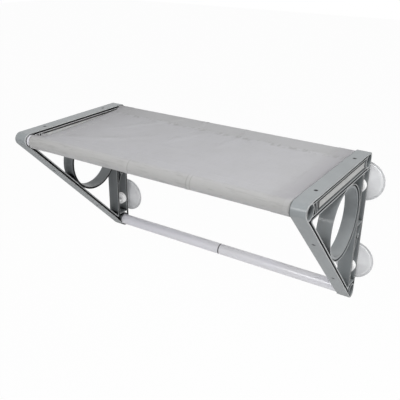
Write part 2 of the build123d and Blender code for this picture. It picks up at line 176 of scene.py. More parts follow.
class Bench:
    """Node tree of one finish, with one way to add any node and a body colour that takes tints."""

    def __init__(self, name: str) -> None:
        """Make an empty material, and read the place on the piece and its coordinates.

        Args:
            name: The material's name.
        """
        self.material = bpy.data.materials.new(name)
        self.material.use_nodes = True
        self.tree = self.material.node_tree
        self.tree.nodes.clear()
        self.body: Any = WHITE
        self.place = self.node("ShaderNodeTexCoord", out="Object")
        self.along, self.across, self.rise = (
            self.node("ShaderNodeSeparateXYZ", None, {0: self.place}, axis) for axis in "XYZ"
        )
        self.right = self.along.bigger(0.0)

    def node(
        self,
        kind: str,
        settings: dict[str, Any] | None = None,
        values: dict[str | int, Any] | None = None,
        out: str | int = 0,
    ) -> Wire:
        """Add a node, set it up and join it.

        Args:
            kind: Blender's type name of the node.
            settings: The node's own options.
            values: What each input takes, a value or a wire, by name or number.
            out: Which output to hand back.

        Returns:
            The chosen output, or the first input of a node without outputs.
        """
        made = self.tree.nodes.new(kind)
        for key, value in (settings or {}).items():
            setattr(made, key, value)
        for key, value in (values or {}).items():
            socket = made.inputs[key]
            if isinstance(value, Wire):
                self.tree.links.new(value.socket, socket)
            elif socket.type == "RGBA":
                socket.default_value = (*value, 1.0)
            else:
                socket.default_value = value
        return Wire(self, made.outputs[out] if made.outputs else made.inputs[0])

    def by_side(self, left: float, right: float) -> Wire:
        """One value on the left half of the perch and another on the right half."""
        return left - self.right * (left - right)

    def grain(self, size: float, detail: float, stretch: Point = (1.0, 1.0, 1.0)) -> Wire:
        """Cloudy variation between zero and one.

        Args:
            size: Width of one cloud.
            detail: Finer layers on top.
            stretch: How much the clouds shrink along each axis.

        Returns:
            The variation.
        """
        moved = self.node("ShaderNodeMapping", None, {"Vector": self.place, "Scale": stretch})
        values = {"Vector": moved, "Scale": 1.0 / size, "Detail": detail}
        return self.node("ShaderNodeTexNoise", None, values)

    def mixed(self, share: Amount, first: Any, second: Any) -> Wire:
        """Mix of two colours, with a share of the second."""
        values = {MIX_SHARE: share, MIX_FIRST: first, MIX_SECOND: second}
        return self.node("ShaderNodeMix", {"data_type": "RGBA"}, values, MIX_RESULT)

    def tint(self, share: Amount, colour: Colour) -> None:
        """Lay a share of a colour over the body colour."""
        self.body = self.mixed(share, self.body, colour)

    def shut_in(self, reach: float, own: bool = False) -> Wire:
        """How closed in a place is by faces near it, from zero in the open to one deep in a slot.

        Args:
            reach: How far away a face still counts.
            own: Whether only the piece's own faces count.

        Returns:
            The share.
        """
        settings = {"samples": CLOSENESS_SAMPLES, "only_local": own}
        return 1.0 - self.node("ShaderNodeAmbientOcclusion", settings, {"Distance": reach}, "AO")

    def relief(self, height: Wire, depth: float, strength: float) -> Wire:
        """Normal bent by a height, where a height of one stands for a depth."""
        values = {"Height": height, "Distance": depth, "Strength": strength}
        return self.node("ShaderNodeBump", None, values)

    def cloud(self, share: Wire, colour: Colour, factor: float) -> None:
        """Start the body colour as a mix of a dimmed colour and the colour itself."""
        self.body = self.mixed(share, tuple(part * factor for part in colour), colour)

    def shader(self, values: dict[str | int, Any]) -> Wire:
        """Principled shader of the body colour, with some more values."""
        return self.node("ShaderNodeBsdfPrincipled", None, {"Base Color": self.body, **values})

    def surface(self, values: dict[str | int, Any]) -> bpy.types.Material:
        """Finish the material with a principled shader."""
        return self.show(self.shader(values))

    def show(self, shader: Wire) -> bpy.types.Material:
        """Give the material's surface a shader, and hand the material back."""
        self.node("ShaderNodeOutputMaterial", None, {"Surface": shader})
        return self.material


@dataclass(frozen=True)
class Closeness:
    """Painted shade where faces come within reach, by how closed in a place is."""

    reach: float
    band: Band

    def on(self, bench: Bench) -> Wire:
        """How much of it shows."""
        return self.band.up(bench.shut_in(self.reach))


@dataclass(frozen=True)
class MouldedPlastic:
    """Satin moulded plastic of the brackets, with a fine spark grain and faint flow marks.

    Each band says where a tint lies and how much of it shows. Its tints are painted light on the
    outer faces, the ring's bore and back and the rib's edge, and painted shade in the slots, the
    grooves, on sheltered faces and where other pieces touch. The values of a pair are for the left
    and the right bracket.
    """

    name: str = "moulded_grey_plastic"
    colour: Colour = (0.300, 0.321, 0.330)
    # Painted light: a paler tone on the outer faces, the ring's lower bore and its back.
    painted_light: Colour = (0.52, 0.53, 0.53)
    # Painted shade: near black in slots, grooves, the ring's gap, the nose's lip and at contacts.
    painted_dark_shade: Colour = (0.012, 0.013, 0.014)
    # Painted highlight on the rib's edge below the rail's groove.
    bright: Colour = (0.75, 0.75, 0.76)
    # Painted shade: a darker tone on sheltered faces, the right rail's top and the uprights.
    painted_soft_shade: Colour = (0.135, 0.14445, 0.1485)
    cloudy: float = 0.93
    middle: float = 0.2935
    half_width: float = 0.01325
    outer_face: Pair = (0.95, 0.75)
    # Painted shade on faces that the cloth and nearby parts shelter.
    shelter: Closeness = Closeness(0.26, Band(0.3, 0.85, 0.62))
    rail_top: float = 0.15
    rail_depth: Band = Band(-0.32, -0.02, 0.23)
    below_rail: Band = Band(0.11, 0.12)
    upright_front: float = -0.0565
    upright: Pair = (0.40, 0.16)
    left_wall: Band = Band(-0.0605, -0.0565, 0.42)
    lip: Band = Band(0.0118, 0.0128, 0.75)
    nose: Band = Band(-0.310, -0.306)
    slot_reach: float = 0.011
    slot: Band = Band(0.25, 0.7, 0.92)
    left_slot: Band = Band(0.2, 0.45)
    contact: Closeness = Closeness(0.005, Band(0.3, 0.75))
    contact_share: float = 0.85
    left_nose: Band = Band(-0.306, -0.294, 0.6)
    ring_middle: Spot = (-0.127, 0.05)
    ring_groove: Band = Band(0.0667, 0.0712, 0.97)
    ring_gap: Band = Band(0.0672, 0.0698, 0.9)
    ring_gap_ends: Band = Band(0.04, 0.06)
    ring_bore: Band = Band(0.0600, 0.0665, 0.2)
    ring_bore_low: Band = Band(-0.05, 0.0)
    ring_back: Band = Band(0.0704, 0.0712, 0.13)
    lining_end: float = 0.0112
    line_start: float = -0.3
    skin_foot: Band = Band(0.1480, 0.1518, 0.9)
    rib_edge: Band = Band(0.1462, 0.1480, 0.8)
    roughness: float = 0.42

    def coat(self) -> bpy.types.Material:
        """Make the material.

        Returns:
            The material.
        """
        bench = Bench(self.name)
        clouds = bench.grain(0.045, 2.0).eased(0.3, 0.7)
        flow = bench.grain(0.02, 4.0, (1.0, 0.25, 0.25))
        spark = bench.grain(0.0006, 2.0)
        bench.cloud(clouds, self.colour, self.cloudy)
        self._light(bench)
        self._crevices(bench)
        self._ring(bench)
        self._rail_line(bench)
        return bench.surface({
            "Roughness": self.roughness + flow.swing(0.16) + spark.swing(0.1),
            "Normal": bench.relief(spark, 0.00012, 0.5),
            "Specular IOR Level": 0.12,
            "Coat Weight": 0.5,
            "Coat Roughness": 0.19,
        })

    def _inward(self, bench: Bench) -> Wire:
        """Distance from the bracket's middle plane towards the perch's middle."""
        return self.middle - bench.along.size()

    def _light(self, bench: Bench) -> None:
        """Paint light on the outer faces, and paint shade on the faces that little light reaches.

        Args:
            bench: The finish's bench.
        """
        outer = self._inward(bench).size().bigger(self.half_width)
        # Painted light on the outer faces.
        bench.tint(outer * bench.by_side(*self.outer_face), self.painted_light)
        # Painted shade on faces sheltered by the cloth and the other parts.
        bench.tint(self.shelter.on(bench), self.painted_soft_shade)
        # Painted shade on the right rail's top, deeper towards the rear.
        on_top = bench.rise.bigger(self.rail_top) * bench.right
        bench.tint(on_top * self.rail_depth.up(bench.across), self.painted_soft_shade)
        # Painted shade on the uprights below the rail, more on the left bracket.
        below_rail = self.below_rail.down(bench.rise)
        upright = bench.across.bigger(self.upright_front) * below_rail
        bench.tint(upright * bench.by_side(*self.upright), self.painted_soft_shade)
        # Painted shade on a narrow strip of the left bracket just in front of its upright.
        left_wall = self.left_wall.inside(bench.across) * (1.0 - bench.right)
        bench.tint(left_wall * below_rail, self.painted_soft_shade)

    def _crevices(self, bench: Bench) -> None:
        """Paint shade in the slots, on the nose's inner lip and where other pieces touch.

        Args:
            bench: The finish's bench.
        """
        left = 1.0 - bench.right
        # Painted shade: a dark line along the right nose's inner lip.
        lip = self.lip.up(self._inward(bench)) * self.nose.down(bench.across)
        bench.tint(lip * bench.right, self.painted_dark_shade)
        # Painted shade deep in the bracket's own slots, more on the left bracket.
        closed = bench.shut_in(self.slot_reach, own=True)
        bench.tint(self.slot.up(closed), self.painted_dark_shade)
        bench.tint(self.left_slot.up(closed) * left, self.painted_dark_shade)
        # Painted shade where other pieces come close, less on the left nose.
        share = self.contact_share - self.left_nose.down(bench.across) * left
        bench.tint(self.contact.on(bench) * share, self.painted_dark_shade)

    def _ring(self, bench: Bench) -> None:
        """Paint shade in the groove and the gap round the ring, and paint light on its bore
        and its back.

        Args:
            bench: The finish's bench.
        """
        off_y, off_z = bench.across - self.ring_middle[0], bench.rise - self.ring_middle[1]
        radius = distance(off_y, off_z)
        inward = self._inward(bench)
        # Painted shade in the ring's groove, and in its gap towards the top and the bottom.
        bench.tint(self.ring_groove.inside(radius) * inward.bigger(self.half_width), self.painted_dark_shade)
        gap = self.ring_gap.inside(radius) * inward.bigger(-self.lining_end)
        bench.tint(gap * self.ring_gap_ends.up(off_z.size()), self.painted_dark_shade)
        # Painted light on the ring's lower bore and, on the right bracket, on its back.
        bore = self.ring_bore.inside(radius) * self.ring_bore_low.down(off_z)
        bench.tint(bore + self.ring_back.inside(radius) * bench.right, self.painted_light)

    def _rail_line(self, bench: Bench) -> None:
        """Paint shade that widens the rail's dark groove on the inner side, and paint a highlight
        on the rib's edge below it.

        Args:
            bench: The finish's bench.
        """
        side = self._inward(bench).bigger(self.half_width) * bench.across.bigger(self.line_start)
        # Painted shade at the foot of the top skin, and a painted highlight on the rib's edge.
        bench.tint(self.skin_foot.inside(bench.rise) * side, self.painted_dark_shade)
        bench.tint(self.rib_edge.inside(bench.rise) * side, self.bright)


@dataclass(frozen=True)
class CoatedTube:
    """White powder coat on the cross tubes, with a faint orange peel."""

    name: str = "white_coated_tube"
    colour: Colour = (0.80, 0.795, 0.85)
    warm: Colour = (0.776, 0.77115, 0.799)
    # Painted shade on the lower tube towards its left end.
    painted_soft_shade: Colour = (0.5, 0.495, 0.53)
    # Dark colour of the joint, also laid as painted shade where the tube meets the sockets.
    seam: Colour = (0.03, 0.03, 0.035)
    seam_side: Band = Band(0.0009, 0.0019, 0.9)
    left_end: Band = Band(-0.27, -0.05, 0.2)
    contact: Closeness = Closeness(0.004, Band(0.3, 0.8, 0.8))
    roughness: float = 0.3

    def coat(self) -> bpy.types.Material:
        """Make the material.

        Returns:
            The material.
        """
        bench = Bench(self.name)
        peel = bench.grain(0.0022, 2.0)
        clouds = bench.grain(0.06, 2.0, (0.4, 1.0, 1.0))
        rubs = bench.grain(0.012, 5.0, (0.15, 1.0, 1.0)).eased(0.62, 0.8)
        lower = 1.0 - bench.rise.bigger(0.0)
        bench.body = bench.mixed(clouds.eased(0.35, 0.65), self.colour, self.warm)
        # Painted shade: the lower tube is darker towards its left end.
        bench.tint(self.left_end.down(bench.along) * lower, self.painted_soft_shade)
        bench.tint(self.seam_side.down(bench.along.size()), self.seam)
        # Painted shade where the tube meets the sockets, in the joint's dark colour.
        bench.tint(self.contact.on(bench), self.seam)
        return bench.surface({
            "Roughness": self.roughness + rubs * 0.1 + clouds.swing(0.06),
            "Normal": bench.relief(peel, 0.0001, 0.2),
            "Coat Weight": 0.5,
            "Coat Roughness": 0.12,
        })


@dataclass(frozen=True)
class RolledSteel:
    """Plain rolled steel of the bars, strips and screws, drawn along one axis.

    In front of its mouth a piece gets painted shade, near black, standing in for the shadow in
    the gap before the bar's end. Painted shade also lies where other pieces come close.
    """

    name: str
    colour: Colour
    stretch: Point
    roughness: float = 0.38
    # Painted shade: near black in front of the mouth and where other pieces come close.
    painted_dark_shade: Colour = (0.012, 0.012, 0.013)
    cloudy: float = 0.86
    mouth: Band = Band(-2.0, -1.0)
    mouth_share: float = 0.95
    contact: Closeness = Closeness(0.008, Band(0.35, 0.8, 0.9))
    metal: float = 0.75

    def coat(self) -> bpy.types.Material:
        """Make the material.

        Returns:
            The material.
        """
        bench = Bench(self.name)
        lines = bench.grain(0.0009, 3.0, self.stretch)
        bloom = bench.grain(0.018, 4.0)
        # Painted shade: the piece in front of the mouth turns near black and loses its metal.
        black = self.mouth.down(bench.across)
        bench.cloud(bloom.eased(0.3, 0.7), self.colour, self.cloudy)
        bench.tint(black * self.mouth_share, self.painted_dark_shade)
        # Painted shade where other pieces come close.
        bench.tint(self.contact.on(bench), self.painted_dark_shade)
        return bench.surface({
            "Metallic": (1.0 - black) * self.metal,
            "Specular IOR Level": 0.1,
            "Roughness": self.roughness + lines.swing(0.2) + bloom.swing(0.1),
            "Normal": bench.relief(lines, 0.00008, 0.4),
        })


@dataclass(frozen=True)
class MilkyRubber:
    """Soft clear rubber of the suction cups, milky where it is thick."""

    name: str = "milky_clear_rubber"
    colour: Colour = (0.81, 0.815, 0.83)
    thin: Colour = (0.88, 0.885, 0.895)
    rim: Colour = (0.79, 0.795, 0.805)
    # Whiter tone of the band inside the rim, and the colour of the painted glow.
    bright: Colour = (0.97, 0.97, 0.98)
    through: Colour = (0.93, 0.94, 0.95)
    centre: Spot = (0.2935, 0.086)
    bright_from: Band = Band(0.031, 0.0345, 0.7)
    rim_from: Band = Band(0.0355, 0.0368)
    clearness: float = 0.16
    clear_swirl: float = 0.08

    def coat(self) -> bpy.types.Material:
        """Make the material.

        Returns:
            The material.
        """
        bench = Bench(self.name)
        swirl = bench.grain(0.016, 3.0)
        skin = bench.grain(0.0016, 2.0)
        facing = bench.node("ShaderNodeLayerWeight", None, {"Blend": 0.35}, "Facing")
        off_x, off_z = bench.along.size() - self.centre[0], bench.rise.size() - self.centre[1]
        radius = distance(off_x, off_z)
        bench.body = bench.mixed(swirl.eased(0.3, 0.7), self.colour, self.thin)
        # A whiter band inside the rim: partly the rubber's thick milky lip, partly a painted
        # highlight.
        bench.tint(self.bright_from.up(radius), self.bright)
        bench.tint(self.rim_from.up(radius), self.rim)
        milky = bench.shader({
            "Roughness": 0.16 + swirl * 0.12,
            "Normal": bench.relief(skin, 0.0002, 0.2),
            "Coat Weight": 0.4,
            "Coat Roughness": 0.12,
            "IOR": 1.43,
            # Painted light: a faint glow standing in for light scattered inside the rubber.
            "Emission Color": self.bright,
            "Emission Strength": 0.045,
        })
        clear = bench.node("ShaderNodeBsdfTransparent", None, {"Color": self.through})
        share = (1.0 - facing) * self.clearness + swirl * self.clear_swirl
        return bench.show(bench.node("ShaderNodeMixShader", None, {0: share, 1: milky, 2: clear}))


@dataclass(frozen=True)
class GlossPlastic:
    """Smooth moulded plastic of the cup nuts and the tube joiners."""

    name: str
    colour: Colour
    roughness: float = 0.28
    # Painted light: how strongly the plastic glows in its own colour.
    glow: float = 0.0
    cloudy: float = 0.94

    def coat(self) -> bpy.types.Material:
        """Make the material.

        Returns:
            The material.
        """
        bench = Bench(self.name)
        clouds = bench.grain(0.008, 3.0)
        sink = bench.grain(0.003, 1.0)
        bench.cloud(clouds, self.colour, self.cloudy)
        return bench.surface({
            "Roughness": self.roughness + clouds.swing(0.12),
            "Normal": bench.relief(sink, 0.0001, 0.3),
            # Painted light: a glow in the plastic's own colour.
            "Emission Color": self.colour,
            "Emission Strength": self.glow,
        })


@dataclass(frozen=True)
class WovenCloth:
    """Close plain weave of the sling, pale grey, a little violet and duller along its edges.

    Each band says where on the cloth a tint lies and how much of it shows. The shade colour is
    painted shade towards both side edges, and the front sleeve has painted shade on its front
    curve, which is partly its own darker tone, and painted light on its lower half.
    """

    name: str = "woven_sling_cloth"
    colour: Colour = (0.535, 0.533, 0.552)
    edge: Colour = (0.466, 0.466, 0.468)
    shade: Colour = (0.37, 0.362, 0.382)
    # Darker warm grey of the sleeve's front curve, partly its own tone and partly painted shade.
    sleeve: Colour = (0.430, 0.427, 0.416)
    # Dark tone of marks and short lines, also painted shade at the left edge and at contacts.
    mark: Colour = (0.27, 0.27, 0.26)
    light_hem: Colour = (0.60, 0.60, 0.61)
    slub_mark: Colour = (0.4194, 0.4194, 0.4212)
    thread: float = 0.0009
    slub: float = 0.0035
    long_threads: Point = (0.12, 1.0, 1.0)
    cross_threads: Point = (1.0, 0.12, 1.0)
    middle: float = 0.0043
    border: Band = Band(0.1745, 0.2745, 0.4)
    rear_band: Band = Band(-0.083, -0.075, 0.55)
    clouds: Band = Band(0.35, 0.7, 0.2)
    # Painted shade towards the right and the left edge.
    right: Band = Band(0.2288, 0.2788, 0.8)
    left: Band = Band(-0.2702, -0.1502, 0.35)
    left_corner: Spot = (-0.2487, -0.302)
    left_slope: float = 0.0746
    # Painted shade along the left edge: a wide soft band and a narrow dark line.
    left_shade: Band = Band(0.0, 0.022, 0.4)
    left_edge_line_shade: Band = Band(0.0, 0.007, 0.45)
    front: Band = Band(-0.3132, -0.298)
    sleeve_share: float = 0.8
    # Painted light: the sleeve's lower half turned back towards the bed's colour.
    sleeve_low: Band = Band(0.128, 0.14, 0.42)
    streaks: Band = Band(0.52, 0.66, 0.3)
    seam: float = -0.081
    seam_side: Band = Band(0.001, 0.012, 0.5)
    seam_dark_spots: Band = Band(0.48, 0.62)
    right_hem: Band = Band(0.2677, 0.2693, 0.14)
    right_hem_depth: Band = Band(-0.298, -0.294)
    ticks: tuple[float, ...] = (-0.0284, 0.0949, 0.1018)
    tick_side: Band = Band(0.0004, 0.0014, 0.55)
    contact: Closeness = Closeness(0.005, Band(0.35, 0.8, 0.7))
    slubs: Band = Band(0.45, 0.7, 0.22)

    def coat(self) -> bpy.types.Material:
        """Make the material.

        Returns:
            The material.
        """
        bench = Bench(self.name)
        long_slubs = bench.grain(self.slub, 3.0, self.long_threads)
        slubs = long_slubs * 0.5 + bench.grain(self.slub, 3.0, self.cross_threads) * 0.5
        weft = (bench.across + bench.rise).wave(self.thread)
        weave = bench.along.wave(self.thread) * weft * 0.5 + 0.5
        front = self.front.down(bench.across)
        self._bed(bench, front)
        self._front_sleeve(bench, front)
        self._marks(bench, front)
        # Painted shade where the cloth touches other pieces.
        bench.tint(self.contact.on(bench), self.mark)
        bench.tint(self.slubs.up(slubs), self.slub_mark)
        return bench.surface({
            "Roughness": 0.86 + slubs.swing(0.16),
            "Normal": bench.relief(weave * 0.6 + slubs * 0.8, 0.00035, 0.55),
            "Sheen Weight": 0.12,
            "Sheen Roughness": 0.5,
            "Specular IOR Level": 0.25,
        })

    def _bed(self, bench: Bench, front: Wire) -> None:
        """Colour the bed, and shade it towards its edges.

        Args:
            bench: The finish's bench.
            front: One on the front sleeve.
        """
        border = self.border.up((bench.along - self.middle).size())
        clouds = self.clouds.up(bench.grain(0.07, 3.0))
        share = border + self.rear_band.up(bench.across) + clouds
        bench.body = bench.mixed(share, self.colour, self.edge)
        # Painted shade towards the right and the left edge.
        bench.tint(self.right.up(bench.along) + self.left.down(bench.along), self.shade)
        edge_x, edge_y = self.left_corner
        off_edge = bench.along - edge_x + (bench.across - edge_y) * self.left_slope
        # Painted shade along the left edge, with a dark line at the edge away from the sleeve.
        bench.tint(self.left_shade.down(off_edge), self.shade)
        bench.tint(self.left_edge_line_shade.down(off_edge) * (1.0 - front), self.mark)

    def _front_sleeve(self, bench: Bench, front: Wire) -> None:
        """Colour the front sleeve: its front curve darker, partly its own tone and partly painted
        shade, its lower half paler by painted light, and its streaks.

        Args:
            bench: The finish's bench.
            front: One on the front sleeve.
        """
        # Darker front curve: partly the sleeve's own tone, partly painted shade.
        bench.tint(front * self.sleeve_share, self.sleeve)
        # Painted light on the sleeve's lower half.
        bench.tint(front * self.sleeve_low.down(bench.rise), self.colour)
        bench.tint(self.streaks.up(bench.grain(0.004, 3.0, self.long_threads)) * front, self.mark)

    def _marks(self, bench: Bench, front: Wire) -> None:
        """Add dark spots along the rear seam, the light right hem and the sleeve's short lines.

        Args:
            bench: The finish's bench.
            front: One on the front sleeve.
        """
        # Darker spots along the rear seam.
        near_seam = self.seam_side.down((bench.across - self.seam).size())
        seam_dark_spots = self.seam_dark_spots.up(bench.grain(0.0075, 3.0, (1.0, 0.4, 1.0)))
        bench.tint(near_seam * seam_dark_spots, self.mark)
        hem = self.right_hem.up(bench.along) * self.right_hem_depth.down(bench.across)
        bench.tint(hem, self.light_hem)
        for tick in self.ticks:
            bench.tint(self.tick_side.down((bench.along - tick).size()) * front, self.mark)


@dataclass(frozen=True)
class SewingThread:
    """Twisted polyester thread of the seams."""

    name: str = "sewing_thread"
    colour: Colour = (0.47, 0.47, 0.48)
    cloudy: float = 0.85
    twist: float = 0.0007

    def coat(self) -> bpy.types.Material:
        """Make the material.

        Returns:
            The material.
        """
        bench = Bench(self.name)
        twist = (bench.along + bench.across).wave(self.twist) * 0.5 + 0.5
        clouds = bench.grain(0.01, 2.0)
        bench.cloud(clouds, self.colour, self.cloudy)
        return bench.surface({
            "Roughness": 0.7 + clouds.swing(0.2),
            "Normal": bench.relief(twist, 0.0001, 0.5),
        })


def wear(names: Iterable[str], material: bpy.types.Material) -> None:
    """Give CAD nodes a finish.

    Args:
        names: The nodes.
        material: Their new material.
    """
    for name in names:
        solid = bpy.data.objects[name]
        solid.data.materials.clear()
        solid.data.materials.append(material)
        log.info("finish %s on %s", material.name, name)


def new_piece(
    name: str, shape: bmesh.types.BMesh, material: bpy.types.Material
) -> bpy.types.Object:
    """Put a new mesh in the scene.

    Args:
        name: The piece's name.
        shape: Its shape, which is freed.
        material: Its finish.

    Returns:
        The new object.
    """
    mesh = bpy.data.meshes.new(name)
    shape.to_mesh(mesh)
    shape.free()
    piece = bpy.data.objects.new(name, mesh)
    bpy.context.scene.collection.objects.link(piece)
    mesh.materials.append(material)
    log.info("built %s with %d faces", name, len(mesh.polygons))
    return piece


@dataclass
class BracketPair:
    """The two moulded brackets and the steel inside them."""

    plastic: MouldedPlastic = MouldedPlastic()
    # The bar's front end gets painted shade in front of its mouth.
    bar: RolledSteel = RolledSteel(
        "rolled_steel_bar", (0.76, 0.765, 0.75), (1.0, 0.03, 1.0), mouth=Band(-0.2676, -0.2660)
    )
    strip: RolledSteel = RolledSteel(
        "dark_steel_strip", (0.12, 0.12, 0.12), (1.0, 0.05, 0.05), roughness=0.5
    )
    screw: RolledSteel = RolledSteel(
        "plated_screw", (0.06, 0.062, 0.065), (1.0, 1.0, 1.0), roughness=0.4
    )

    def dress(self) -> None:
        """Give the brackets, bars, strips and screws their finishes."""
        wear((f"{side.value}_bracket" for side in Side), self.plastic.coat())
        wear((f"{side.value}_rail_bar" for side in Side), self.bar.coat())
        wear((f"{side.value}_strut_strip" for side in Side), self.strip.coat())
        wear(("rail_screws", "strut_screws"), self.screw.coat())


@dataclass
class TubeSet:
    """The three cross tubes with their joiners."""

    coating: CoatedTube = CoatedTube()
    joiner: GlossPlastic = GlossPlastic("grey_joiner_plastic", (0.03, 0.03, 0.035), roughness=0.6)

    def dress(self) -> None:
        """Give the tubes and joiners their finishes."""
        wear(tube_halves(*Run), self.coating.coat())
        wear((f"{run.value}_tube_joiner" for run in Run), self.joiner.coat())


def tube_halves(*runs: Run) -> list[str]:
    """Names of the right and left half of some tubes."""
    return [f"{run.value}_tube_{side.value}" for run in runs for side in Side]


@dataclass
class CupSet:
    """The suction cups and the nuts on their studs."""

    rubber: MilkyRubber = MilkyRubber()
    # The nuts get a painted glow, which keeps them white where the brackets shade them.
    nut: GlossPlastic = GlossPlastic("white_nut_plastic", (0.86, 0.86, 0.855), glow=0.29)

    def dress(self) -> None:
        """Give the cups and nuts their finishes."""
        cups = [f"{level.value}_{side.value}_cup" for level in Level for side in Side]
        wear(cups, self.rubber.coat())
        wear((f"{cup}_nut" for cup in cups), self.nut.coat())


def clamped(value: float) -> float:
    """Value held between zero and one."""
    return min(1.0, max(0.0, value))


def stepped(value: float, low: float, high: float) -> float:
    """Smooth step from zero at a low value to one at a high value."""
    share = clamped((value - low) / (high - low))
    return share * share * (3.0 - 2.0 * share)


@dataclass(frozen=True)
class Hill:
    """Round hill: its height, and the width over which it falls off."""

    height: float
    width: float

    def at(self, off: float) -> float:
        """Height at a distance from its top."""
        return self.height * math.exp(-((off / self.width) ** 2))


@dataclass(frozen=True)
class Crease:
    """One line on the cloth that stands proud, fading out towards its ends."""

    start: Spot
    end: Spot
    shape: Hill
    overrun: float = 0.3
    full: float = 0.35
    fade: Hill = Hill(1.0, 0.22)

    def height(self, x: float, y: float) -> float:
        """Height that the crease adds at a place on the flat cloth.

        Args:
            x: Place along the perch.
            y: Depth over the bed.

        Returns:
            The added height.
        """
        run = Vector((self.end[0] - self.start[0], self.end[1] - self.start[1]))
        away = Vector((x - self.start[0], y - self.start[1]))
        share = away.dot(run) / run.length_squared
        if not -self.overrun < share < 1.0 + self.overrun:
            return 0.0
        off = abs(away.x * run.y - away.y * run.x) / run.length
        return self.shape.at(off) * self.fade.at(max(0.0, abs(share - 0.5) - self.full))


# Fold marks and pulls, each with its start and end as x and y, its rise and its width.
CREASES = tuple(
    Crease((low_x, low_y), (high_x, high_y), Hill(rise, width))
    for low_x, low_y, high_x, high_y, rise, width in (
        (-0.036, -0.314, -0.040, -0.022, 0.0005, 0.0025),
        (-0.0346, -0.322, -0.0346, -0.272, 0.0006, 0.002),
        (0.0926, -0.322, 0.0926, -0.262, 0.0007, 0.002),
        (-0.042, -0.084, -0.042, -0.014, 0.0006, 0.0025),
        (-0.1815, -0.176, -0.1018, -0.048, 0.0010, 0.009),
        (-0.1528, -0.244, -0.0859, -0.174, 0.0009, 0.010),
        (-0.0434, -0.182, -0.0066, -0.094, 0.0009, 0.008),
        (0.0538, -0.158, 0.0668, -0.082, 0.0008, 0.007),
        (0.0668, -0.082, 0.0541, -0.035, 0.0009, 0.004),
        (0.0699, -0.088, 0.1076, -0.113, 0.0008, 0.005),
        (-0.25, -0.290, -0.13, -0.227, 0.0009, 0.012),
        (0.266, -0.282, 0.21, -0.242, 0.0006, 0.010),
        (0.268, -0.054, 0.20, -0.089, 0.0005, 0.010),
    )
)


@dataclass(frozen=True)
class Seam:
    """One sleeve's seam: the y at which it lies, and how it puckers the cloth."""

    line: float
    pucker: Hill


@dataclass(frozen=True)
class EdgePull:
    """How far one side edge is drawn in over the bed, and stands out on the tubes."""

    in_front: float
    in_rear: float
    out_front: float = 0.0
    out_rear: float = 0.0


@dataclass(frozen=True)
class ClothRelief:
    """How the cloth sags, waves and puckers, and how its hems stand up."""

    sag: float = 0.0026
    sag_fullness: float = 0.8
    sag_at_sides: float = 0.55
    edge_sag: Hill = Hill(0.0016, 0.02)
    wave: float = 0.00055
    wave_scale: Pair = (11.0, 15.0)
    wave_seed: float = 0.7
    wave_layers: tuple[float, float, int] = (0.8, 2.1, 3)
    ripple: float = 1.4
    ripple_scale: Point = (75.0, 40.0, 3.1)
    seam_dip: Hill = Hill(0.9, 0.0015)
    hem_step: float = 0.00045
    hem_step_width: float = 0.0009
    hem_dip: Hill = Hill(0.00035, 0.0013)

    def bed(self, depth: float) -> float:
        """How free the cloth is at a depth, zero over both tubes and one midway."""
        return math.sin(math.pi * depth) ** self.sag_fullness

    def sagged(self, free: float, width: float) -> float:
        """How far the cloth sags, from how free it is and its share of the width."""
        at_sides = self.sag_at_sides
        return self.sag * free * (at_sides + (1.0 - at_sides) * math.sin(math.pi * width))

    def waved(self, x: float, y: float) -> float:
        """Slow waves of the bed at a place."""
        point = Vector((x * self.wave_scale[0], y * self.wave_scale[1], self.wave_seed))
        return self.wave * noise.fractal(point, *self.wave_layers)

    def puckered(self, x: float, y: float, seam: Seam) -> float:
        """Ripples beside a seam, and the seam's own dip.

        Args:
            x: Place along the perch.
            y: Depth of the place.
            seam: The seam.

        Returns:
            The added height.
        """
        x_scale, y_scale, seed = self.ripple_scale
        ripple = self.ripple * noise.noise(Vector((x * x_scale, seam.line * y_scale, seed)))
        off = y - seam.line
        return seam.pucker.at(off) * (ripple - self.seam_dip.at(off))

    def hemmed(self, off_hem: float) -> float:
        """Step up to the doubled hem with its stitches' dip, at a distance from its inner edge."""
        step = self.hem_step / (1.0 + math.exp(off_hem / self.hem_step_width))
        return step - self.hem_dip.at(off_hem)


